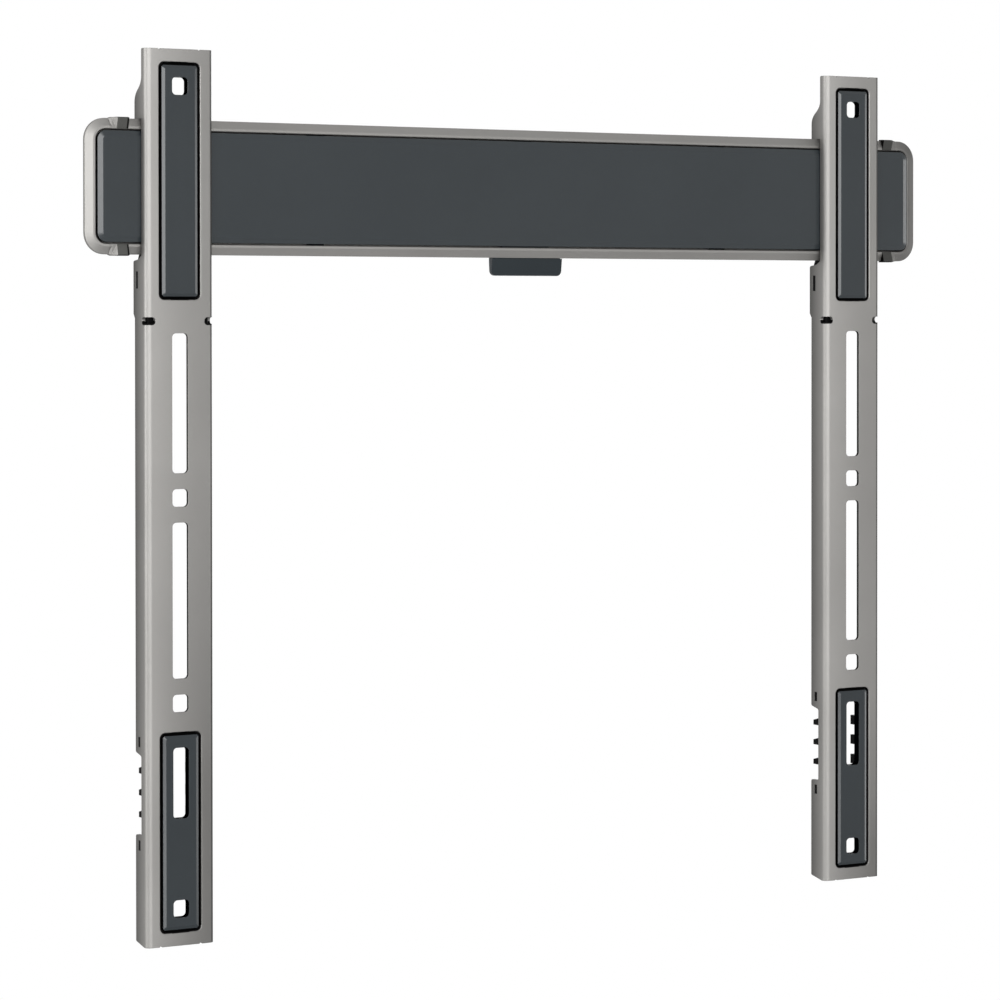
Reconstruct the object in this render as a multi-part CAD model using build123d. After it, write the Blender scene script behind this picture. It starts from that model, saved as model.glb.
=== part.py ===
from build123d import *
from math import atan2, degrees, radians, tan
import os

os.makedirs("parts", exist_ok=True)

# Layout: the wall is y = 0, the television side is -y, the plate's centre is the origin
arm_spacing = 400.0         # between the centre lines of the two arms
wall_clear = 1.5            # wall to the deepest edge of the arms
hang = 34.0                 # upper ends of the arms down to the lip that they hang on
past = 1.0                  # how far cutting shapes run past the sheet

# Wall plate: a drawn steel tray with an outward lip
plate_width = 493.0
plate_height = 65.8
plate_depth = 9.7           # wall to the crest of the lip
plate_sheet = 1.8
plate_corner = 10.5
lip_width = 5.3             # outer edge to the inner face of the tray's wall
lip_crest = 1.5             # level part of the lip round the tray's mouth
lip_fall = 1.5              # how far the lip's outer edge lies behind its crest
lip_bevel = 0.4             # bevel of the mouth's edge
tray_bevel = 1.8            # bevel of the tray's back edge

# Lanced stops in the lip, which keep the arms from sliding off the ends
stop_inset = 21.0           # plate end to the sheared side
stop_length = 6.7           # sheared side to the start of the fold
stop_fold = 2.2
stop_drop = 1.7             # how far back the stop's free edge is pressed
stop_reach = 0.6            # how far it stands out past the lip

# Wall screw holes in the tray's floor
screw_hole = 8.5            # diameter, and the width of the slots
screw_row = 30.0            # between the upper and lower rows
screw_span = 380.0          # between the outer round holes
slot_span = 150.0           # between the middles of the slots
slot_length = 45.0

# Cover of the wall plate
cover_gap = 0.7
cover_proud = 0.9           # cover's face before the crest of the lip
cover_wall = 2.2
cover_bevel_run = 2.65
cover_bevel_rise = 0.5
post_diameter = 7.0
post_span = 300.0
clip_span = 120.0           # between neighbouring clips along each edge
clip_width = 9.0
clip_wall = 1.4
clip_barb = 0.9
clip_barb_height = 1.6
window_play = 0.3           # clearance of a clip or tongue in its window

# Centre tab under the lower lip
tab_width = 41.7
tab_drop = 9.2              # visible height below the lip
tab_wall = 1.8
tab_lean = 7.0              # degrees that the tab's foot leans to the wall
tab_corner = 2.6
tab_gap = 0.2               # tab to the lip
tongue_width = 28.0
tongue_wall = 1.5
tongue_reach = 4.0          # how far the tongue runs into the tray

# Arms: folded channels
arm_width = 36.2
arm_sheet = 1.8
arm_bend = 3.0              # outer radius of the folds
top_depth = 4.9             # flange depth at the upper end
hook_depth = 12.9           # flange depth at the hook and along most of the arm
heel_depth = 14.5           # flange depth just under the plate
notch_depth = 5.0           # flange depth where the plate passes
foot_rise = 2.0             # flange's back corner above the arm's lower end
foot_corner = 0.8
edge_round = 1.2            # small corners of the flange outline
nick_radius = 0.9           # nicks in the arm's ends, in line with the sides of the recesses
nick_depth = 0.5

# Hook and heel, as distances from the plate's lip
hook_play = 0.3             # hook to the back of the lip
hook_clear = 0.5            # hook tip to the tray's wall
sweep_high = 21.0           # lip to the start of the sweep above it
sweep_low = 8.0             # lip to the end of the sweep
heel_drop = 0.4             # lip to the heel's first slope
heel_slope_depth = 8.2      # flange depth where the two slopes of the heel meet
heel_slope_drop = 1.8
heel_top_drop = 3.0
heel_length = 28.6          # lip down to the step back to the hook depth
step_length = 2.3

# Hole pattern for the television
hole_step = 100.0           # the holes lie 2, 0, -1 and -2 steps from the pattern's middle
end_margin = 18.0           # outermost holes to the ends of the arm
hole_width = 8.3
hole_height = 8.6
hole_corner = 2.0
hole_to_slot = 12.0         # hole centre to the nearest end of the next slot
upper_slot_stop = 20.0      # upper slot's end to the place one step up, which has no hole

# Recesses and pads
recess_margin = 6.8         # arm end to the recess
slot_to_recess = 16.7       # upper slot to the upper recess
hole_to_recess = 14.4       # lower bare hole to the lower recess
recess_width = 21.2
recess_depth = 1.8
recess_corner = 2.4
recess_lip = 0.7            # bevel of the pressed edge
pad_gap = 1.15
pad_proud = 0.5
pad_corner = 0.8            # cut corners of a pad, and of its face inside the bevel
pad_face_corner = 0.3
pad_bevel_run = 1.5
pad_bevel_rise = 0.66
pad_slot_length = 34.6
pad_slot_inset = 7.0        # lower recess's upper edge to the slot in its pad
pad_foot = 0.5              # thin foot of a pad, which fills the floor of its recess
pad_play = 0.1              # pad's foot and collars to the steel
collar_wall = 1.2           # collars of a pad, which line the holes in the steel
collar_corner = 1.6         # cut corners of the collars
collar_past = 0.4           # collar past the back of the recess

# Slits in the folds under the plate
fold_slit_drop = 32.0       # lip to the slit's middle
fold_slit_height = 3.2
fold_slit_front = 5.0       # reach in from the arm's side
fold_slit_depth = 4.5       # reach down the flange

# Tooth racks in the arms
rack_inset = 29.4           # lower recess's upper edge down to the middle tooth
tooth_pitch = 10.7
tooth_count = 3
tooth_tip = 2.65            # height of the outer half of a tooth at its tip
tooth_root = 4.0
tooth_heart = 5.1           # height of the inner half of a tooth
tooth_depth = 13.7          # arm front to the tooth tips
tooth_width = 7.6
tooth_side = 3.7            # width of the outer half
rail_front = 4.2
rail_back = 8.5
rail_width = 4.0
window_depth = 6.3          # flange depth left at the cut-out
window_length = 40.2
window_slope = 1.6
rack_slit_span = 50.4       # between the two slits of a rack
rack_slit_height = 5.0
rack_slit_depth = 8.7
bar_height = 7.0
bar_depth = 6.0

# Lip catches in the arms
catch_slit_drop = 12.3      # lip to the slit's middle
catch_slit_height = 8.4
catch_slit_depth = 10.4
catch_front = 5.3
catch_back = 13.4
catch_foot = 18.6           # lip to the catch's lower face
catch_jaw = 1.2             # how far the front jaw laps the lip
catch_nose = 2.4            # thickness of the nose behind the lip
web_wall = 5.3              # web of the catch, which stands behind the fold slits
web_drop = 4.0              # middle of the fold slits to the web's lower face
web_play = 0.2              # web to the arm's sheet
web_corner = 0.6            # web's corners, which clear the folds

# Fits shared by the moulded pieces in the arms
slit_width = 2.4
side_play = 0.15            # moulded piece to the inner faces of the flanges
slit_play = 0.1
lip_play = 0.3

# Places worked out from the sizes above; those on an arm are in its own frame:
# y = 0 at its front face, z = 0 at the middle of the hole pattern
stand_off = heel_depth + wall_clear
arm_end = 2 * hole_step + end_margin
arm_length = 2 * arm_end
arm_inside = arm_width / 2 - arm_sheet
lip_front = stand_off - plate_depth + lip_fall
lip_back = lip_front + plate_sheet
lip_top = arm_end - hang
lip_bottom = lip_top - plate_height
lip_catchable = lip_width - plate_sheet
pattern_drop = (lip_top + lip_bottom) / 2
upper_slot_top = hole_step - upper_slot_stop
lower_recess_top = -hole_step - hole_to_recess
rack_z = lower_recess_top - rack_inset
mouth_width = plate_width - 2 * lip_width
mouth_height = plate_height - 2 * lip_width
mouth_corner = plate_corner - lip_width
lip_edge = lip_fall - plate_depth
lip_slope = lip_fall / (lip_width - lip_crest)
cover_front = -plate_depth - cover_proud
cover_back = cover_front + cover_wall
tongue_front = lip_edge + plate_sheet + tab_gap
fold_slit_z = lip_bottom - fold_slit_drop
catch_slit_z = lip_bottom - catch_slit_drop
pad_width = recess_width - 2 * pad_gap
collar_back = recess_depth + arm_sheet + collar_past
moulding_reach = arm_inside - side_play


def front_prism(sketch, y_from, y_to):
    """Stand a sketch drawn in x and z upright and fill it from one depth to another."""
    return extrude(Plane.XZ.offset(-y_from) * sketch, amount=y_from - y_to)


def side_prism(sketch, x_from, x_to):
    """Fill a sketch drawn in y and z from one place across the arm to another."""
    return extrude(Plane.YZ.offset(x_from) * sketch, amount=x_to - x_from)


def block(x, y, z):
    """A box from its low and high limits on each axis."""
    size = (x[1] - x[0], y[1] - y[0], z[1] - z[0])
    return Pos(x[0], y[0], z[0]) * Box(*size, align=(Align.MIN, Align.MIN, Align.MIN))


def nearest_corners(face, points):
    """The face's vertices that lie at the given points."""
    return [min(face.vertices(), key=lambda v: (v.X - p[0]) ** 2 + (v.Y - p[1]) ** 2) for p in points]


def tapered(sketch, y_from, run, rise):
    """Raise a sketch towards the front, with sides that lean in by the run over the rise."""
    return extrude(Plane.XZ.offset(-y_from) * sketch, amount=rise, taper=degrees(atan2(run, rise)))


def cut_rectangle(width, height, cut):
    """A rectangle with its corners cut off."""
    sheet = Rectangle(width, height)
    return chamfer(sheet.vertices(), cut)


def lip_section(tip_reach, pressed):
    """Section of the upper lip from the bevel of its crest to a tip that is pressed back."""
    root = mouth_height / 2 + lip_bevel
    knee = mouth_height / 2 + lip_crest
    tip = plate_height / 2 + tip_reach
    knee_front = pressed * (knee - root) / (tip - root) - plate_depth
    tip_front = lip_edge + pressed
    return make_face(Polyline(
        (-plate_depth, root), (knee_front, knee), (tip_front, tip), (tip_front + plate_sheet, tip),
        (knee_front + plate_sheet, knee), (plate_sheet - plate_depth, root), close=True,
    ))


def lanced_stop():
    """Right-hand upper stop: a stretch of lip pressed back at its free edge, sheared on its inner side."""
    sheared_x = plate_width / 2 - stop_inset
    fold_x = sheared_x + stop_length
    pressed = lip_section(stop_reach, stop_drop)
    plain = Plane.YZ.offset(fold_x + stop_fold) * lip_section(0, 0)
    fold = loft([Plane.YZ.offset(fold_x) * pressed, plain], ruled=True)
    return side_prism(pressed, sheared_x, fold_x) + fold


def stop_opening():
    """The stretch of plain lip that the right-hand upper stop takes the place of."""
    sheared_x = plate_width / 2 - stop_inset
    across = (sheared_x, sheared_x + stop_length + stop_fold)
    root = mouth_height / 2 + lip_bevel
    wall_face = mouth_height / 2 + plate_sheet
    tip = plate_height / 2 + past
    crest = block(across, (-plate_depth - past, plate_sheet - plate_depth), (root, tip))
    return crest + block(across, (-plate_depth, lip_edge + plate_sheet + past), (wall_face, tip))


def four_ways(shape):
    """A shape and its mirror images left, right, up and down."""
    upper = [shape, mirror(shape, Plane.YZ)]
    return upper + [mirror(one, Plane.XY) for one in upper]


def clip_places():
    """Middles of the cover's clips along one edge."""
    return [-clip_span, 0.0, clip_span]


def wall_holes():
    """Round and slotted holes for the wall screws."""
    rounds = [Pos(x, z) * Circle(screw_hole / 2) for x in (-screw_span / 2, screw_span / 2)
              for z in (-screw_row / 2, screw_row / 2)]
    slots = [Pos(x, z) * SlotOverall(slot_length, screw_hole) for x in (-slot_span / 2, slot_span / 2)
             for z in (-screw_row / 2, screw_row / 2)]
    return [front_prism(one, -plate_sheet - past, past) for one in rounds + slots]


def clip_windows():
    """Windows in the tray's walls for the cover's clips, and the one for the centre tab's tongue."""
    upper_wall = (mouth_height / 2 - past, mouth_height / 2 + plate_sheet + past)
    lower_wall = (-upper_wall[1], -upper_wall[0])
    half = clip_width / 2 + window_play
    back = -plate_sheet - window_play
    front = back - clip_barb_height - 2 * window_play
    half_tongue = tongue_width / 2 + window_play
    tongue_depth = (tongue_front - window_play, tongue_front + tongue_wall + window_play)
    windows = [block((-half_tongue, half_tongue), tongue_depth, lower_wall)]
    for x in clip_places():
        windows.append(block((x - half, x + half), (front, back), upper_wall))
        if x:
            windows.append(block((x - half, x + half), (front, back), lower_wall))
    return windows


def sloped_lip():
    """The lip: a level crest round the tray's mouth, which falls back to the outer edge."""
    outer = RectangleRounded(plate_width, plate_height, plate_corner)
    front = tapered(outer, lip_edge, lip_width - lip_crest, lip_fall)
    return front + front_prism(outer, lip_edge, lip_edge + plate_sheet) - Pos(0, plate_sheet, 0) * front


def wall_plate():
    """The pressed tray: floor on the wall, walls forward, lip outward, stops at the lip's ends."""
    inside = RectangleRounded(mouth_width, mouth_height, mouth_corner)
    outside = RectangleRounded(
        mouth_width + 2 * plate_sheet, mouth_height + 2 * plate_sheet, mouth_corner + plate_sheet,
    )
    tray = front_prism(outside, lip_edge, 0)
    tray = chamfer(tray.faces().sort_by(Axis.Y)[-1].edges(), tray_bevel)
    mouth = front_prism(inside, -plate_depth - past, -plate_sheet)
    plate = sloped_lip() + tray - mouth
    crest = plate.faces().sort_by(Axis.Y)[0]
    plate = chamfer(crest.inner_wires()[0].edges(), lip_bevel)
    plate = plate - four_ways(stop_opening()) + four_ways(lanced_stop())
    return plate - wall_holes() - clip_windows()


def cover_clip():
    """One upper clip: a springy leg with a barb for the tray's window."""
    leg_top = mouth_height / 2 - cover_gap
    leg_foot = leg_top - clip_wall
    barb_top = mouth_height / 2 + clip_barb
    barb_back = -plate_sheet - 2 * window_play
    barb_front = barb_back - clip_barb_height
    outline = Polyline(
        (cover_back, leg_top), (cover_back, leg_foot), (barb_back, leg_foot), (barb_back, leg_top),
        (barb_back - clip_barb_height / 3, barb_top), (barb_front, barb_top), (barb_front, leg_top),
        close=True,
    )
    return side_prism(make_face(outline), -clip_width / 2, clip_width / 2)


def plate_cover():
    """Moulded cover: bevelled face, posts that stand on the tray's floor, and clips along both edges."""
    size = (mouth_width - 2 * cover_gap, mouth_height - 2 * cover_gap)
    outline = RectangleRounded(*size, mouth_corner - cover_gap)
    bevel_back = cover_front + cover_bevel_rise
    cover = tapered(outline, bevel_back, cover_bevel_run, cover_bevel_rise)
    cover += front_prism(outline, bevel_back, cover_back)
    for x in (-post_span / 2, post_span / 2):
        cover += Pos(x, 0, 0) * front_prism(Circle(post_diameter / 2), cover_back, -plate_sheet)
    for x in clip_places():
        cover += Pos(x, 0, 0) * cover_clip()
        if x:
            cover += Pos(x, 0, 0) * mirror(cover_clip(), Plane.XY)
    return cover


def centre_tab():
    """Moulded tab: a leaf that leans back under the lip, held by a tongue through the tray's lower wall."""
    leaf_top = -plate_height / 2 - tab_gap
    root_z = -mouth_height / 2 - plate_sheet - tab_gap
    foot_z = -plate_height / 2 - tab_drop
    foot_y = lip_edge + tab_drop * tan(radians(tab_lean))
    tongue_back = tongue_front + tongue_wall
    outline = Polyline(
        (lip_edge, leaf_top), (foot_y, foot_z), (foot_y + tab_wall, foot_z),
        (tongue_back, leaf_top - tab_wall), (tongue_back, root_z), (tongue_front, root_z),
        (tongue_front, leaf_top), close=True,
    )
    leaf = side_prism(make_face(outline), -tab_width / 2, tab_width / 2)
    leaf = fillet(leaf.edges().filter_by(Axis.Y).group_by(Axis.Z)[0], tab_corner)
    tongue = block(
        (-tongue_width / 2, tongue_width / 2),
        (tongue_front, tongue_back),
        (leaf_top, -mouth_height / 2 + tongue_reach),
    )
    return leaf + tongue


def channel():
    """Plain folded channel of full flange depth."""
    outer = Rectangle(arm_width, heel_depth, align=(Align.CENTER, Align.MIN))
    outer = fillet(outer.vertices().group_by(Axis.Y)[0], arm_bend)
    inner = Pos(0, arm_sheet) * Rectangle(2 * arm_inside, heel_depth, align=(Align.CENTER, Align.MIN))
    inner = fillet(inner.vertices().group_by(Axis.Y)[0], arm_bend - arm_sheet)
    return Pos(0, 0, -arm_end) * extrude(outer - inner, amount=arm_length)


def flange_outline():
    """Side view of the arm: hook, notch for the plate, heel, rack cut-out and foot."""
    hook_front = lip_back + hook_play
    hook_tip = lip_top - lip_catchable + hook_clear
    heel_start = lip_bottom - heel_drop
    heel_z = lip_bottom - heel_top_drop
    step_z = lip_bottom - heel_length
    window_top = rack_z + window_length / 2
    window_bottom = rack_z - window_length / 2
    sweep_from = (top_depth, lip_top + sweep_high)
    sweep_to = (hook_depth, lip_top + sweep_low)
    tip_back = (hook_depth, hook_tip)
    tip_front = (hook_front, hook_tip)
    heel = (heel_depth, heel_z)
    window_corners = [(hook_depth, window_top), (window_depth, window_top - window_slope),
                      (window_depth, window_bottom), (hook_depth, window_bottom)]
    head = (top_depth, arm_end)
    foot = (hook_depth, foot_rise - arm_end)
    down = (0, -1)
    edges = [
        Polyline((0, arm_end), head, sweep_from),
        Spline(sweep_from, sweep_to, tangents=(down, down)),
        Polyline(
            sweep_to, tip_back, tip_front, (hook_front, lip_top), (notch_depth, lip_top),
            (notch_depth, heel_start), (heel_slope_depth, heel_start - heel_slope_drop), heel,
            (heel_depth, step_z), (hook_depth, step_z - step_length), *window_corners,
            foot, (arm_bend, -arm_end), (0, -arm_end),
        ),
        Line((0, -arm_end), (0, arm_end)),
    ]
    face = make_face(edges)
    face = fillet(nearest_corners(face, [tip_back, tip_front, heel, *window_corners]), edge_round)
    return fillet(nearest_corners(face, [head, foot]), foot_corner)


def recesses():
    """Middle height and length of the upper and the lower recess."""
    far_end = arm_end - recess_margin
    spans = [(upper_slot_top + slot_to_recess, far_end), (-far_end, lower_recess_top)]
    return [((low + high) / 2, high - low) for low, high in spans]


def hole_span(z):
    """Lower and upper limit of one square hole."""
    return (z - hole_height / 2, z + hole_height / 2)


def hole(span):
    """Outline of one upright hole with rounded corners."""
    return Pos(0, sum(span) / 2) * RectangleRounded(hole_width, span[1] - span[0], hole_corner)


def collar(span, grow):
    """Outline of the collar round one hole, with cut corners."""
    size = (hole_width + 2 * grow, span[1] - span[0] + 2 * grow)
    return Pos(0, sum(span) / 2) * cut_rectangle(*size, collar_corner)


def pad_spans(upper):
    """Limits of the holes that go through a pad and the recess under it."""
    if upper:
        return [hole_span(2 * hole_step)]
    slot_top = lower_recess_top - pad_slot_inset
    return [hole_span(-2 * hole_step), (slot_top - pad_slot_length, slot_top)]


def pattern_spans():
    """Limits of the holes and slots between the recesses."""
    return [
        hole_span(0),
        hole_span(-hole_step),
        (hole_to_slot, upper_slot_top),
        (hole_to_slot - hole_step, -hole_to_slot),
    ]


def fold_slits():
    """The two slits that run round the folds under the plate."""
    cuts = []
    for side in (-1, 1):
        inner_x = arm_width / 2 - fold_slit_front
        front = Pos(side * (inner_x + arm_width / 2), fold_slit_z) * SlotOverall(arm_width, fold_slit_height)
        cuts.append(front_prism(front, -past, arm_bend))
        depth = fold_slit_depth + arm_width / 2
        flange = Pos(fold_slit_depth - depth / 2, fold_slit_z) * SlotOverall(depth, fold_slit_height)
        x_from = side * (arm_width / 2 - arm_bend)
        cuts.append(side_prism(flange, x_from, x_from + side * (arm_bend + past)))
    return cuts


def end_nicks():
    """Small round nicks in the front edges of both ends."""
    z = arm_end + nick_radius - nick_depth
    nick = front_prism(Circle(nick_radius), -past, arm_sheet + past)
    return [Pos(x, 0, end) * nick for x in (-recess_width / 2, recess_width / 2) for end in (-z, z)]


def slits():
    """Middle depth, middle height and height of the slits that the moulded pieces clip into."""
    half = rack_slit_span / 2
    rack = [(rack_slit_depth, z, rack_slit_height) for z in (rack_z + half, rack_z - half)]
    return rack + [(catch_slit_depth, catch_slit_z, catch_slit_height)]


def arm():
    """One arm: folded channel, cut to its outline, with recesses, holes and slits."""
    body = channel() & side_prism(flange_outline(), -arm_width, arm_width)
    for z, length in recesses():
        grown = 2 * arm_sheet
        back = RectangleRounded(recess_width + grown, length + grown, recess_corner + arm_sheet)
        body += Pos(0, 0, z) * front_prism(back, arm_sheet / 2, recess_depth + arm_sheet)
    for z, length in recesses():
        hollow = RectangleRounded(recess_width, length, recess_corner)
        body -= Pos(0, 0, z) * front_prism(hollow, -past, recess_depth)
    rims = [wire.edges() for wire in body.faces().sort_by(Axis.Y)[0].inner_wires()]
    body = chamfer([edge for rim in rims for edge in rim], recess_lip)
    lined = [collar(span, collar_wall + pad_play) for span in pad_spans(True) + pad_spans(False)]
    for outline in [hole(span) for span in pattern_spans()] + lined:
        body -= front_prism(outline, -past, recess_depth + arm_sheet + past)
    for depth, z, height in slits():
        body -= Pos(0, depth, z) * Box(arm_width + 2 * past, slit_width, height)
    return body - fold_slits() - end_nicks()


def pad(upper):
    """One pad: a bevelled face proud of the arm, a foot on the recess floor, collars that line its holes."""
    z, length = recesses()[0 if upper else 1]
    outline = Pos(0, z) * cut_rectangle(pad_width, length - 2 * pad_gap, pad_corner)
    inset = 2 * (pad_gap + pad_bevel_run)
    face = Pos(0, z) * cut_rectangle(recess_width - inset, length - inset, pad_face_corner)
    foot = Pos(0, z) * cut_rectangle(recess_width - 2 * pad_play, length - 2 * pad_play, recess_corner)
    bevel_back = pad_bevel_rise - pad_proud
    foot_front = recess_depth - pad_foot
    body = loft([Plane.XZ.offset(-bevel_back) * outline, Plane.XZ.offset(pad_proud) * face], ruled=True)
    body += front_prism(outline, bevel_back, recess_depth)
    body += front_prism(foot, foot_front, recess_depth)
    for span in pad_spans(upper):
        body += front_prism(collar(span, collar_wall), foot_front, collar_back)
        body -= front_prism(hole(span), -pad_proud - past, collar_back + past)
    return body


def tongues(depth, z, height):
    """A strip across the arm whose ends fill the two slits of a moulded piece, flush with the flanges."""
    return Pos(0, depth, z) * Box(arm_width, slit_width - 2 * slit_play, height - 2 * slit_play)


def tooth(side, z):
    """One tooth: the outer half is level underneath and sloped on top, the inner half is a plain block."""
    low = z - tooth_tip / 2
    outline = make_face(Polyline(
        (rail_front, low), (tooth_depth, low), (tooth_depth, low + tooth_tip), (rail_back, low + tooth_root),
        (rail_front, low + tooth_root), close=True,
    ))
    split = side * (moulding_reach - tooth_side)
    inner_x = sorted((split, side * (moulding_reach - tooth_width)))
    heart = block(inner_x, (rail_front, tooth_depth), (z - tooth_heart / 2, z + tooth_heart / 2))
    return side_prism(outline, split, side * moulding_reach) + heart


def tooth_rack():
    """Moulded rack: two rails of teeth joined by bars whose tongues clip in the flange slits."""
    reach = moulding_reach
    bar_z = rack_slit_span / 2
    rail_end = bar_z + bar_height / 2
    rack = None
    for side in (-1, 1):
        x = sorted((side * (reach - rail_width), side * reach))
        rail = block(x, (rail_front, rail_back), (rack_z - rail_end, rack_z + rail_end))
        rack = rail if rack is None else rack + rail
        for k in range(tooth_count):
            rack += tooth(side, rack_z + (k - (tooth_count - 1) / 2) * tooth_pitch)
    for z in (rack_z - bar_z, rack_z + bar_z):
        half = bar_height / 2
        rack += block((-reach, reach), (rail_front, rail_front + bar_depth), (z - half, z + half))
        rack += tongues(rack_slit_depth, z, rack_slit_height)
    return rack


def lip_catch():
    """Moulded catch: a jaw before the lower lip, a nose behind it, tongues in flange slits, a web below."""
    foot = lip_bottom - catch_foot
    seat = lip_bottom - lip_play
    nose_front = lip_back + lip_play
    nose_top = lip_bottom + lip_catchable - hook_clear
    jaw_top = lip_bottom + catch_jaw
    jaw_back = lip_front - lip_play - catch_jaw * lip_slope
    web_front = arm_sheet + web_play
    web_back = web_front + web_wall
    web_foot = fold_slit_z - web_drop
    web_top = upper_slot_top + slot_to_recess - arm_sheet - web_play
    outline = Polyline(
        (catch_front, web_top), (web_front, web_top), (web_front, web_foot), (web_back, web_foot),
        (web_back, foot), (catch_back, foot), (catch_back, lip_bottom - heel_top_drop + past),
        (nose_front + catch_nose, lip_bottom), (nose_front + catch_nose / 2, nose_top),
        (nose_front, nose_top), (nose_front, seat), (jaw_back, seat), (jaw_back, jaw_top),
        (catch_front, jaw_top), close=True,
    )
    catch = side_prism(make_face(outline), -moulding_reach, moulding_reach)
    catch = chamfer(catch.edges().filter_by(Axis.Z).group_by(Axis.Y)[0], web_corner)
    return catch + tongues(catch_slit_depth, catch_slit_z, catch_slit_height)


nodes = {"wall_plate": wall_plate(), "plate_cover": plate_cover(), "centre_tab": centre_tab()}
arm_pieces = {
    "arm": arm(),
    "upper_pad": pad(True),
    "lower_pad": pad(False),
    "tooth_rack": tooth_rack(),
    "lip_catch": lip_catch(),
}
for side, name in ((-1, "left"), (1, "right")):
    for piece, shape in arm_pieces.items():
        nodes[f"{name}_{piece}"] = Pos(side * arm_spacing / 2, -stand_off, -pattern_drop) * shape

for name, shape in nodes.items():
    export_step(shape, f"parts/{name}.step")
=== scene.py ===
from math import cos, radians, sin

import bmesh
import bpy
from mathutils import Matrix, Vector


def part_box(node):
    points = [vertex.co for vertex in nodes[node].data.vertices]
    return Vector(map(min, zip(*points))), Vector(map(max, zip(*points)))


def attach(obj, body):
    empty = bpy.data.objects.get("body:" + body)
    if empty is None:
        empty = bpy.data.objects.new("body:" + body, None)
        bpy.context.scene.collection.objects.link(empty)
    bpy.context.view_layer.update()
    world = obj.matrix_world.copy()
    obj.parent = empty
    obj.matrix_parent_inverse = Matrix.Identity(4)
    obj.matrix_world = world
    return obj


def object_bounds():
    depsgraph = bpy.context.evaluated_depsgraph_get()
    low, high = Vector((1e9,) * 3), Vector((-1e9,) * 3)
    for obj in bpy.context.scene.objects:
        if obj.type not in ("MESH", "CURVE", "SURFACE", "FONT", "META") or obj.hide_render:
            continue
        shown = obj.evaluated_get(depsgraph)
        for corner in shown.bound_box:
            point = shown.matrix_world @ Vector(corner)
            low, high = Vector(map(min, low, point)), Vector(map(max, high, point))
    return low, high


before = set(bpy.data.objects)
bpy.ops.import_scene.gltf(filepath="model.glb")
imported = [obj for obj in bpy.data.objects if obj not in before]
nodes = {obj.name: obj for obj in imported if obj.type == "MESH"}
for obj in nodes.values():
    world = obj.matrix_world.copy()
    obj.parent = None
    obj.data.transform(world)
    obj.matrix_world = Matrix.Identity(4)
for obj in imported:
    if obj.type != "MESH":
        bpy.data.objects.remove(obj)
cad_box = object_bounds()

# Camera, in metres and degrees, in the frame of the wall plate; its lens and sensor are in millimetres
CAMERA_PLACE = (-0.90445, -1.55484, -0.06254)
CAMERA_TURN = 29.866            # to the right of straight at the wall
CAMERA_TILT = -0.735            # above level
CAMERA_ROLL = -0.042
CAMERA_LENS = 124.92
CAMERA_SENSOR = 36.0
CAMERA_SHIFT = -0.14            # up or down, as a share of the picture
CAMERA_REACH = 100.0            # the farthest that it sees

# Finishes, as linear colours
NICKEL = (0.236, 0.231, 0.222)
NICKEL_DARK = (0.213, 0.208, 0.200)
STOP_FACE_PAINTED_SHADE = {"left": (0.074, 0.074, 0.070), "right": (0.050, 0.050, 0.047)}     # fronts of the plate's stops, painted in shade, darker on the right where less light falls
CUT_EDGE_AND_SHADE = (0.008, 0.008, 0.008)        # dark cut steel and painted shade at its holes, slits, recess walls, sheared sides and the stops' free edges
ANTHRACITE = (0.0115, 0.0165, 0.0200)
ANTHRACITE_LIGHT = (0.0138, 0.0192, 0.0228)
BORE_WALL = (0.010, 0.011, 0.012)       # walls of the holes through the pads, painted in shade
BLACK = (0.0015, 0.0015, 0.0016)
BLACK_LIGHT = (0.003, 0.003, 0.0031)
DEEP_SHADE = (0.002, 0.002, 0.002)            # painted shade: the gaps round the mouldings, and the gloss of every dark place, which takes out its reflections
FLOOR_PALE = (0.85, 0.85, 0.85)
WHITE = (1.0, 1.0, 1.0)

# Gloss
NICKEL_GRAZING = (0.5, 0.5, 0.5)        # how much of the full gloss the coating has at a grazing angle
NICKEL_METALLIC = 0.78
NICKEL_ROUGHNESS = 0.475
NICKEL_VARIATION = 0.04                 # how far the roughness goes up and down with the grain
ANTHRACITE_ROUGHNESS = 0.17
ANTHRACITE_GLOSS = 0.5
LOWER_PAD_GLOSS = 0.42
TAB_GLOSS = 0.24
BLACK_ROUGHNESS = 0.5
BLACK_GLOSS = 0.03
MOULD_VARIATION = 0.03
FLOOR_ROUGHNESS = 0.8

# Fine surface, in metres
COATING_CLOUD = 0.06            # size of the faint clouds in the colour
COATING_GRAIN = 0.0004
COATING_DEPTH = 0.000004
MOULD_CLOUD = 0.05
MOULD_GRAIN = 0.0006
MOULD_DEPTH = 0.000003
CLOUD_DETAIL = 3.0
GRAIN_DETAIL = 2.0
NOISE_SPAN = (0.3, 0.7)         # values between which most of a noise lies
EDGE_RADIUS = 0.0003            # how round the edges look
EDGE_SAMPLES = 6

# Arms; depths are from the front face towards the wall, and left and right are as seen from the room
ARM_CROWN = 3.2                 # bow of the front faces: its fall for the distance from the crown squared
CROWN_SHIFT = {"left": -0.003, "right": 0.019}      # from the arm's middle to the crown
FLANGE_SHADE = 0.36             # painted shade: how dark the flanges are painted at their back edge, against the front
FLANGE_DEPTHS = (0.003, 0.0145)     # between which it darkens
FOLD_SHADE = 0.3                # painted shade: how dark the right-hand folds are painted, against the front
FOLD_SPAN = {"left": (0.0022, 0.0014), "right": (0.0026, 0.0019)}   # from that side, start to full
FOLD_DEPTHS = (0.0016, 0.0026)      # between which that fades out again
FOOT_SHADE = 0.66               # painted shade: how dark the lower right corners are painted, against the middle
FOOT_SPAN = {"left": (0.20, 0.08), "right": (0.10, 0.02)}   # from the lower end, start to full
FOOT_ACROSS = (-0.016, 0.014)       # and to the right of the arm's middle
HOLE_HALF_WIDTH = 0.0047        # half the width in which the holes' cut edges are painted dark, as cut steel and painted shade
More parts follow.
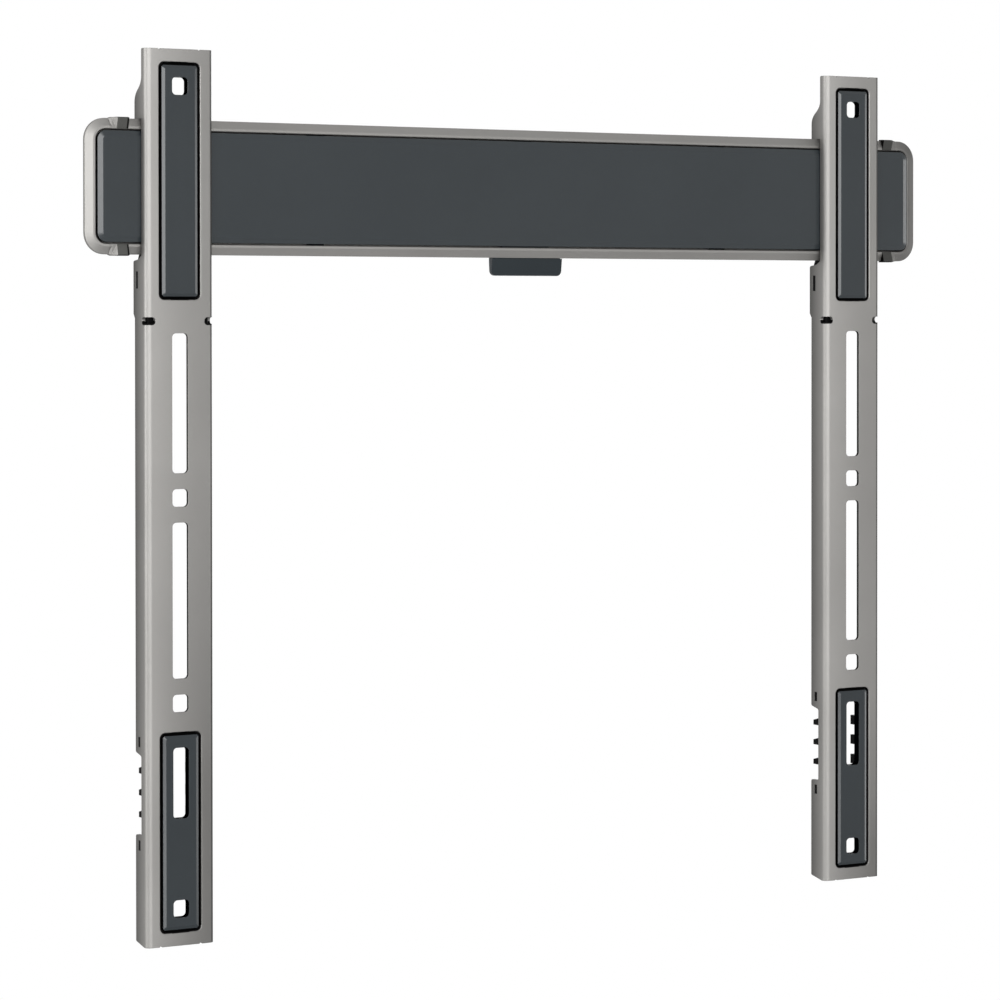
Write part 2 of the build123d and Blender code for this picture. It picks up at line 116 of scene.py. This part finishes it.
HOLE_INSET = 0.002              # the holes stay this far from the arm's ends
HOLE_DEPTHS = (0.0001, 0.00149)     # between which those edges lie
SLIT_RADIUS = 0.00165           # round ends of the slits in the folds, with a hair's breadth round them; inside that the steel is painted in shade
SLIT_DROP = 0.0320              # lower side of the plate's box down to the middle of those slits
SLIT_INNER = 0.0147             # centres of the round ends, from the arm's middle
SLIT_BACK = 0.0029              # and from its front
RECESS_BESIDE = 0.0008          # pad's sides to the outer edge of the recess's bevel
RECESS_BEYOND = 0.0016          # pad's ends to the same edge
RECESS_DEPTHS = (0.0003, 0.0028)    # between which the recess's wall is painted in shade

# Wall plate and the raised stops on its lip
END_SHADE = 0.5                 # painted shade: how dark the plate's right end is painted, against the middle
END_SPAN = (0.0305, 0.0035)     # from that end, start to full
STOP_STATIONS = (0.0222, 0.0161, 0.0139, 0.0121)    # from the plate's end: sheared side, fold, its foot, end
STOP_RAISED = (                 # a stop's section: depth behind the lip's crest, height past the plate's box
    (-0.00005, -0.00555), (-0.0015, -0.00035), (-0.00005, 0.00004),
    (0.0033, 0.00004), (0.00044, -0.0044), (0.0003, -0.00555),
)
STOP_LOW = (                    # the same at the foot of the fold
    (-0.00003, -0.00555), (0.0012, -0.0003), (0.0014, -0.0002),
    (0.0033, -0.0002), (0.00044, -0.0044), (0.0003, -0.00555),
)
STOP_SUNK = (                   # and at the end, inside the plain lip
    (0.0001, -0.00555), (0.0016, -0.0007), (0.0018, -0.0007),
    (0.0022, -0.0007), (0.0008, -0.0044), (0.0005, -0.00555),
)
STOP_EDGE = 0.00038             # its free edge, painted dark as cut steel and painted shade, begins this far inside the plate's box
STOP_SHADOW_BAND = {"left": 0.0009, "right": 0.0002}       # width of the painted shadow along its sheared side
STOP_SIDE = 0.00005             # depth of that side itself, which is painted in shade all over

# Mouldings; depths are from their faces towards the wall
PAD_SHADE = 0.0008              # depth at which the painted shade in the gap round a pad begins
COVER_SHADE = 0.0007            # and the one round the cover
BORE_HALF_WIDTH = 0.0044        # half the width in which the pads' holes lie
BORE_START = 0.00015            # depth at which the painted shade on the walls of those holes begins
BORE_INSET = 0.004              # the holes stay this far from the ends of a pad

# Studio
FLOOR_DROP = 0.62               # floor below the lower ends of the arms
FLOOR_SIZE = 60.0
FLOOR_NEAR = 0.6                # radius of the plain floor, which takes the shadow
FLOOR_FAR = 2.2                 # radius from which the floor is as white as the background
WORLD_SEEN = 1.0                # strength of the white background to the eye
WORLD_SOFT = 0.1                # and of the light that it casts
LAMPS = {                       # degrees round and up, then distance, width and height, then watts
    "key": (-29, 12, 2.4, 3.7, 1.08, 71),
    "low": (-18, -13, 2.4, 1.1, 0.36, 6.5),
    "right": (77, -3, 2.4, 0.8, 1.0, 5.5),
    "cover": (60, 5, 2.5, 0.42, 0.36, 1.9),
    "left": (-95, 5, 2.4, 0.9, 1.1, 25),
    "back": (140, 15, 2.4, 1.6, 1.2, 24),
}


def direction(azimuth, elevation):
    """Unit vector from the object: azimuth 0 is straight out from the wall, positive to the right."""
    turn, rise = radians(azimuth), radians(elevation)
    return Vector((sin(turn) * cos(rise), -cos(turn) * cos(rise), sin(rise)))


def set_camera():
    """The photograph's view."""
    turn, tilt, roll = (radians(angle) for angle in (CAMERA_TURN, CAMERA_TILT, CAMERA_ROLL))
    ahead = Vector((sin(turn) * cos(tilt), cos(turn) * cos(tilt), sin(tilt)))
    level = Vector((cos(turn), -sin(turn), 0))
    upright = level.cross(ahead)
    right = level * cos(roll) + upright * sin(roll)
    up = upright * cos(roll) - level * sin(roll)
    aim = Matrix((right, up, -ahead)).transposed().to_4x4()
    camera = bpy.data.objects.new("camera", bpy.data.cameras.new("camera"))
    camera.matrix_world = Matrix.Translation(CAMERA_PLACE) @ aim
    camera.data.lens = CAMERA_LENS
    camera.data.sensor_width = CAMERA_SENSOR
    camera.data.shift_y = CAMERA_SHIFT
    camera.data.clip_end = CAMERA_REACH
    bpy.context.scene.collection.objects.link(camera)
    bpy.context.scene.camera = camera


def opaque(colour):
    """A colour with its alpha; a socket stays as it is."""
    return colour if isinstance(colour, bpy.types.NodeSocket) else (*colour, 1.0)


class Nodes:
    """The node tree of a material or a world, with short ways to add and join nodes."""

    MIX_COLOURS = (6, 7)        # colour inputs of a mix node, after those for numbers and vectors
    MIX_RESULT = 2              # its colour output

    def __init__(self, block):
        block.use_nodes = True
        self.tree = block.node_tree

    def add(self, kind, **settings):
        node = self.tree.nodes.new(kind)
        for key, value in settings.items():
            setattr(node, key, value)
        return node

    def put(self, value, socket):
        """Feed one input: a socket is linked, anything else is a plain value."""
        if isinstance(value, bpy.types.NodeSocket):
            self.tree.links.new(value, socket)
        else:
            socket.default_value = value

    def feed(self, node, **values):
        """Feed a node's inputs by name."""
        for key, value in values.items():
            self.put(value, node.inputs[key.replace("_", " ")])
        return node

    def position(self):
        """Place of the surface in the object's own frame."""
        return self.add("ShaderNodeTexCoord").outputs["Object"]

    def axis(self, name):
        """One coordinate of that place."""
        split = self.feed(self.add("ShaderNodeSeparateXYZ"), Vector=self.position())
        return split.outputs[name]

    def noise(self, size, detail):
        node = self.add("ShaderNodeTexNoise")
        self.feed(node, Vector=self.position(), Scale=1.0 / size, Detail=detail)
        return node.outputs["Fac"]

    def ramp(self, value, low, high, span=NOISE_SPAN):
        """Goes from low to high as a value goes along a span, and stays there beyond its ends."""
        node = self.add("ShaderNodeMapRange")
        start, end = span
        self.feed(node, Value=value, From_Min=start, From_Max=end, To_Min=low, To_Max=high)
        return node.outputs["Result"]

    def mix(self, factor, first, second):
        """A colour that goes from the first to the second as the factor goes from 0 to 1."""
        node = self.add("ShaderNodeMix", data_type="RGBA")
        self.feed(node, Factor=factor)
        for place, colour in zip(self.MIX_COLOURS, (first, second)):
            self.put(opaque(colour), node.inputs[place])
        return node.outputs[self.MIX_RESULT]

    def shaded(self, colour, share):
        """A colour made darker, to a share of itself."""
        node = self.add("ShaderNodeVectorMath", operation="SCALE")
        self.feed(node, Vector=colour, Scale=share)
        return node.outputs["Vector"]

    def soft_edges(self):
        """The surface's normal, turned at the edges as if they were round."""
        node = self.add("ShaderNodeBevel", samples=EDGE_SAMPLES)
        self.feed(node, Radius=EDGE_RADIUS)
        return node.outputs["Normal"]

    def bump(self, height, depth, normal):
        node = self.add("ShaderNodeBump")
        self.feed(node, Height=height, Distance=depth, Strength=1.0, Normal=normal)
        return node.outputs["Normal"]

    def math(self, operation, first, second=0.0):
        """A sum on two values, each a socket or a number."""
        node = self.add("ShaderNodeMath", operation=operation)
        for value, socket in zip((first, second), node.inputs):
            self.put(value, socket)
        return node.outputs["Value"]

    def times(self, first, second):
        return self.math("MULTIPLY", first, second)

    def minus(self, first, second):
        return self.math("SUBTRACT", first, second)

    def larger(self, first, second):
        """The larger of two values; of two masks, 1 where either of them is 1."""
        return self.math("MAXIMUM", first, second)

    def over(self, value, limit):
        """1 where a value is over a limit, else 0."""
        return self.math("GREATER_THAN", value, limit)

    def under(self, value, limit):
        """1 where a value is under a limit, else 0."""
        return self.math("LESS_THAN", value, limit)

    def between(self, value, low, high):
        """1 where a value lies between two limits, else 0."""
        return self.times(self.over(value, low), self.under(value, high))

    def spread(self, value):
        """Distance from 0, whatever the sign."""
        return self.math("ABSOLUTE", value)

    def length(self, vector):
        node = self.feed(self.add("ShaderNodeVectorMath", operation="LENGTH"), Vector=vector)
        return node.outputs["Value"]

    def seen(self):
        """1 for what the eye sees straight, in a reflection or through something clear, else 0."""
        path = self.add("ShaderNodeLightPath").outputs
        straight_or_mirrored = self.larger(path["Is Camera Ray"], path["Is Glossy Ray"])
        return self.larger(straight_or_mirrored, path["Is Transmission Ray"])

    def glow(self, kind, strength):
        """White light, from a background or from a surface."""
        node = self.feed(self.add(kind), Color=opaque(WHITE), Strength=strength)
        return node.outputs[0]

    def choose(self, factor, first, second):
        """The first shader where the factor is 0, the second where it is 1."""
        node = self.add("ShaderNodeMixShader")
        for value, socket in zip((factor, first, second), node.inputs):
            self.put(value, socket)
        return node.outputs["Shader"]


def surface(name):
    """A new material, its nodes and its shader."""
    material = bpy.data.materials.new(name)
    net = Nodes(material)
    return material, net, net.tree.nodes["Principled BSDF"]


def fold_slits(net, off_middle, depth, height):
    """1 in and closely round the slits that run round an arm's folds, where painted shade goes."""
    off_slit = net.feed(
        net.add("ShaderNodeCombineXYZ"),
        X=net.math("MINIMUM", net.minus(off_middle, SLIT_INNER), 0.0),
        Y=net.larger(net.minus(depth, SLIT_BACK), 0.0),
        Z=net.minus(height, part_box("wall_plate")[0].z - SLIT_DROP),
    )
    return net.under(net.length(off_slit.outputs["Vector"]), SLIT_RADIUS)


def recess_wall(net, pad, off_middle, depth, height):
    """1 on the wall of the pressed recess round a pad, which is painted in shade."""
    low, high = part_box(pad)
    within = net.under(off_middle, (high.x - low.x) / 2 + RECESS_BESIDE)
    beside_pad = net.between(height, low.z - RECESS_BEYOND, high.z + RECESS_BEYOND)
    return net.times(net.times(net.between(depth, *RECESS_DEPTHS), within), beside_pad)


def arm_painted_shade(net, arm, across, depth):
    """1 where an arm is painted dark: the cut edges of its holes and fold slits, as cut steel and painted
    shade, and the walls of its recesses, as painted shade.
    """
    low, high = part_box(f"{arm}_arm")
    off_middle = net.spread(across)
    height = net.axis("Z")
    clear = net.between(height, low.z + HOLE_INSET, high.z - HOLE_INSET)
    in_hole = net.times(net.under(off_middle, HOLE_HALF_WIDTH), clear)
    dark = net.times(in_hole, net.between(depth, *HOLE_DEPTHS))
    dark = net.larger(dark, fold_slits(net, off_middle, depth, height))
    for pad in ("upper_pad", "lower_pad"):
        dark = net.larger(dark, recess_wall(net, f"{arm}_{pad}", off_middle, depth, height))
    return dark


def arm_coating(net, arm, colour, normal):
    """The coating's colour, normal and dark places on an arm, which is slightly bowed; painted shade darkens
    its flanges towards the back, its right-hand fold and its lower right corner.
    """
    low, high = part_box(f"{arm}_arm")
    half_width = (high.x - low.x) / 2
    across = net.minus(net.axis("X"), (low.x + high.x) / 2)
    depth = net.minus(net.axis("Y"), low.y)
    above = net.minus(net.axis("Z"), low.z)
    bowed = net.minus(across, CROWN_SHIFT[arm])
    normal = net.bump(net.times(bowed, bowed), -ARM_CROWN, normal)
    fold_span = [half_width - off for off in FOLD_SPAN[arm]]
    on_fold = net.times(net.ramp(across, 0.0, 1.0, fold_span), net.ramp(depth, 1.0, 0.0, FOLD_DEPTHS))
    on_foot = net.times(net.ramp(above, 0.0, 1.0, FOOT_SPAN[arm]), net.ramp(across, 0.0, 1.0, FOOT_ACROSS))
    # painted shade on the flanges, the right-hand fold and the lower right corner
    colour = net.shaded(colour, net.ramp(depth, 1.0, FLANGE_SHADE, FLANGE_DEPTHS))
    colour = net.shaded(colour, net.ramp(on_fold, 1.0, FOLD_SHADE, (0.0, 1.0)))
    colour = net.shaded(colour, net.ramp(on_foot, 1.0, FOOT_SHADE, (0.0, 1.0)))
    return colour, normal, arm_painted_shade(net, arm, across, depth)


def plate_coating(net, colour):
    """The coating's colour on the wall plate, with painted shade at its right end."""
    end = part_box("wall_plate")[1].x
    return net.shaded(colour, net.ramp(net.axis("X"), 1.0, END_SHADE, [end - off for off in END_SPAN]))


def stop_coating(net, side, colour):
    """The coating's colour and dark places on a side's stops, whose faces stand before the lip's crest;
    their faces, sheared sides and free edges are painted in shade.
    """
    low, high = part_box("wall_plate")
    sheared, fold = (high.x - off for off in STOP_STATIONS[:2])
    off_middle = net.spread(net.axis("X"))
    flat = net.under(off_middle, fold)
    before = net.under(net.axis("Y"), low.y)
    side_shadow = net.under(off_middle, sheared + STOP_SHADOW_BAND[side])
    free = net.over(net.spread(net.axis("Z")), high.z - STOP_EDGE)
    edges = net.times(net.larger(side_shadow, free), before)
    cut = net.under(off_middle, sheared + STOP_SIDE)
    # painted shade on the stops' fronts
    colour = net.mix(net.times(flat, before), colour, STOP_FACE_PAINTED_SHADE[side])
    return colour, net.times(net.larger(edges, cut), flat)


def nickel(name, arm=None, stop=None):
    """Satin nickel-grey coating on steel, with painted shade: on an arm, on the stops of one side, or on the
    plate itself.
    """
    material, net, shader = surface(name)
    cloud = net.noise(COATING_CLOUD, CLOUD_DETAIL)
    grain = net.noise(COATING_GRAIN, GRAIN_DETAIL)
    colour = net.mix(net.ramp(cloud, 0.0, 1.0), NICKEL, NICKEL_DARK)
    normal = net.soft_edges()
    gloss = opaque(NICKEL_GRAZING)
    dark = None
    if arm is not None:
        colour, normal, dark = arm_coating(net, arm, colour, normal)
    else:
        colour = plate_coating(net, colour)
    if stop is not None:
        colour, dark = stop_coating(net, stop, colour)
    if dark is not None:
        # painted shade, with the cut steel's own dark colour, in the dark places; their reflections are
        # taken out too
        colour = net.mix(dark, colour, CUT_EDGE_AND_SHADE)
        gloss = net.mix(dark, NICKEL_GRAZING, DEEP_SHADE)
    net.feed(
        shader, Base_Color=colour, Metallic=NICKEL_METALLIC, Specular_Tint=gloss,
        Roughness=net.ramp(grain, NICKEL_ROUGHNESS - NICKEL_VARIATION, NICKEL_ROUGHNESS + NICKEL_VARIATION),
        Normal=net.bump(grain, COATING_DEPTH, normal),
    )
    return material


def gap_round(net, node, shade):
    """1 in the gap round a moulding's face, which is painted in shade."""
    return net.over(net.minus(net.axis("Y"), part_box(node)[0].y), shade)


def bores(net, node):
    """1 on the walls of the holes through a pad, which are painted in shade."""
    low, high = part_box(node)
    off_middle = net.spread(net.minus(net.axis("X"), (low.x + high.x) / 2))
    clear = net.between(net.axis("Z"), low.z + BORE_INSET, high.z - BORE_INSET)
    in_hole = net.times(net.under(off_middle, BORE_HALF_WIDTH), clear)
    return net.times(in_hole, gap_round(net, node, BORE_START))


def moulding(name, colour, light, roughness, gloss, node=None, shade=None, bored=False):
    """Moulded plastic with a fine eroded grain; the gap round a face that lies in a recess, and the walls of
    a pad's holes, are painted in shade, near black and without gloss.
    """
    material, net, shader = surface(name)
    cloud = net.noise(MOULD_CLOUD, CLOUD_DETAIL)
    grain = net.noise(MOULD_GRAIN, GRAIN_DETAIL)
    base = net.mix(net.ramp(cloud, 0.0, 1.0), colour, light)
    if node is not None:
        # painted shade in the gap round the face and on the holes' walls
        dark = gap_round(net, node, shade)
        base = net.mix(dark, base, DEEP_SHADE)
        if bored:
            bore = bores(net, node)
            base = net.mix(bore, base, BORE_WALL)
            dark = net.larger(dark, bore)
        net.feed(shader, Metallic=dark, Specular_Tint=net.mix(dark, WHITE, DEEP_SHADE))
    net.feed(
        shader, Base_Color=base, Specular_IOR_Level=gloss,
        Roughness=net.ramp(grain, roughness - MOULD_VARIATION, roughness + MOULD_VARIATION),
        Normal=net.bump(grain, MOULD_DEPTH, net.soft_edges()),
    )
    return material


def anthracite(name, gloss, node=None, shade=None, bored=False):
    """The dark plastic of the cover, the tab and the pads."""
    return moulding(name, ANTHRACITE, ANTHRACITE_LIGHT, ANTHRACITE_ROUGHNESS, gloss, node, shade, bored)


def dress(node, material):
    """Give a CAD node its finish."""
    mesh = nodes[node].data
    mesh.materials.clear()
    mesh.materials.append(material)


def raised_stop(name, side, end, material):
    """A stop on the plate's lip: its free edge stands forward, and its outer side folds down to the lip."""
    low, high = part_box("wall_plate")
    sections = (STOP_RAISED, STOP_RAISED, STOP_LOW, STOP_SUNK)
    shape = bmesh.new()
    rings = []
    for off, section in zip(STOP_STATIONS, sections):
        x = side * (high.x - off)
        ring = [shape.verts.new((x, low.y + depth, end * (high.z + height))) for depth, height in section]
        rings.append(ring)
    shape.faces.new(rings[0])
    shape.faces.new(rings[-1])
    for near, far in zip(rings, rings[1:]):
        for i, vertex in enumerate(near):
            shape.faces.new((near[i - 1], vertex, far[i], far[i - 1]))
    bmesh.ops.triangulate(shape, faces=shape.faces)
    bmesh.ops.recalc_face_normals(shape, faces=shape.faces)
    mesh = bpy.data.meshes.new(name)
    shape.to_mesh(mesh)
    shape.free()
    mesh.materials.append(material)
    stop = bpy.data.objects.new(name, mesh)
    bpy.context.scene.collection.objects.link(stop)
    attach(stop, "root")


def dress_plate():
    """The wall plate with its stops, its cover and its tab."""
    dress("wall_plate", nickel("nickel_plate"))
    for side, x in (("left", -1), ("right", 1)):
        coating = nickel(f"nickel_{side}_stops", stop=side)
        for level, z in (("upper", 1), ("lower", -1)):
            raised_stop(f"{side}_{level}_stop", x, z, coating)
    dress("plate_cover", anthracite("anthracite_cover", ANTHRACITE_GLOSS, "plate_cover", COVER_SHADE))
    dress("centre_tab", anthracite("anthracite_tab", TAB_GLOSS))


def dress_arms():
    """The two arms with their pads and the black pieces inside them."""
    black = moulding("black_plastic", BLACK, BLACK_LIGHT, BLACK_ROUGHNESS, BLACK_GLOSS)
    for side in ("left", "right"):
        dress(f"{side}_arm", nickel(f"nickel_{side}_arm", arm=side))
        for piece, gloss in (("upper_pad", ANTHRACITE_GLOSS), ("lower_pad", LOWER_PAD_GLOSS)):
            pad = f"{side}_{piece}"
            dress(pad, anthracite(f"anthracite_{pad}", gloss, pad, PAD_SHADE, bored=True))
        for piece in ("tooth_rack", "lip_catch"):
            dress(f"{side}_{piece}", black)


def set_world():
    """White to the eye and in reflections, softer for the light that falls on the object."""
    world = bpy.data.worlds.new("studio")
    net = Nodes(world)
    net.tree.nodes.clear()
    soft, white = (net.glow("ShaderNodeBackground", strength) for strength in (WORLD_SOFT, WORLD_SEEN))
    net.feed(net.add("ShaderNodeOutputWorld"), Surface=net.choose(net.seen(), soft, white))
    bpy.context.scene.world = world


def softbox(name, azimuth, elevation, distance, width, height, power):
    """A soft area lamp that faces the middle of the object."""
    low, high = cad_box
    middle = (Vector(low) + Vector(high)) / 2
    lamp = bpy.data.objects.new(name, bpy.data.lights.new(name, "AREA"))
    lamp.data.shape = "RECTANGLE"
    lamp.data.size = width
    lamp.data.size_y = height
    lamp.data.energy = power
    out = direction(azimuth, elevation)
    lamp.location = middle + out * distance
    lamp.rotation_euler = out.to_track_quat("Z", "Y").to_euler()
    bpy.context.scene.collection.objects.link(lamp)


def set_floor():
    """Plain pale floor with the object's shadow, which fades to the white of the background far out."""
    low, _ = cad_box
    bpy.ops.mesh.primitive_plane_add(size=FLOOR_SIZE, location=(0, 0, low[2] - FLOOR_DROP))
    floor = bpy.context.object
    floor.name = "floor"
    material, net, shader = surface("pale_floor")
    net.feed(shader, Base_Color=opaque(FLOOR_PALE), Roughness=FLOOR_ROUGHNESS)
    far = net.ramp(net.length(net.position()), 0.0, 1.0, (FLOOR_NEAR, FLOOR_FAR))
    white = net.glow("ShaderNodeEmission", WORLD_SEEN)
    faded = net.choose(net.times(far, net.seen()), shader.outputs["BSDF"], white)
    net.feed(net.tree.nodes["Material Output"], Surface=faded)
    floor.data.materials.append(material)


set_camera()
set_world()
dress_plate()
dress_arms()
for name, lamp in LAMPS.items():
    softbox(name, *lamp)
set_floor()

bpy.context.scene.view_settings.view_transform = "Standard"
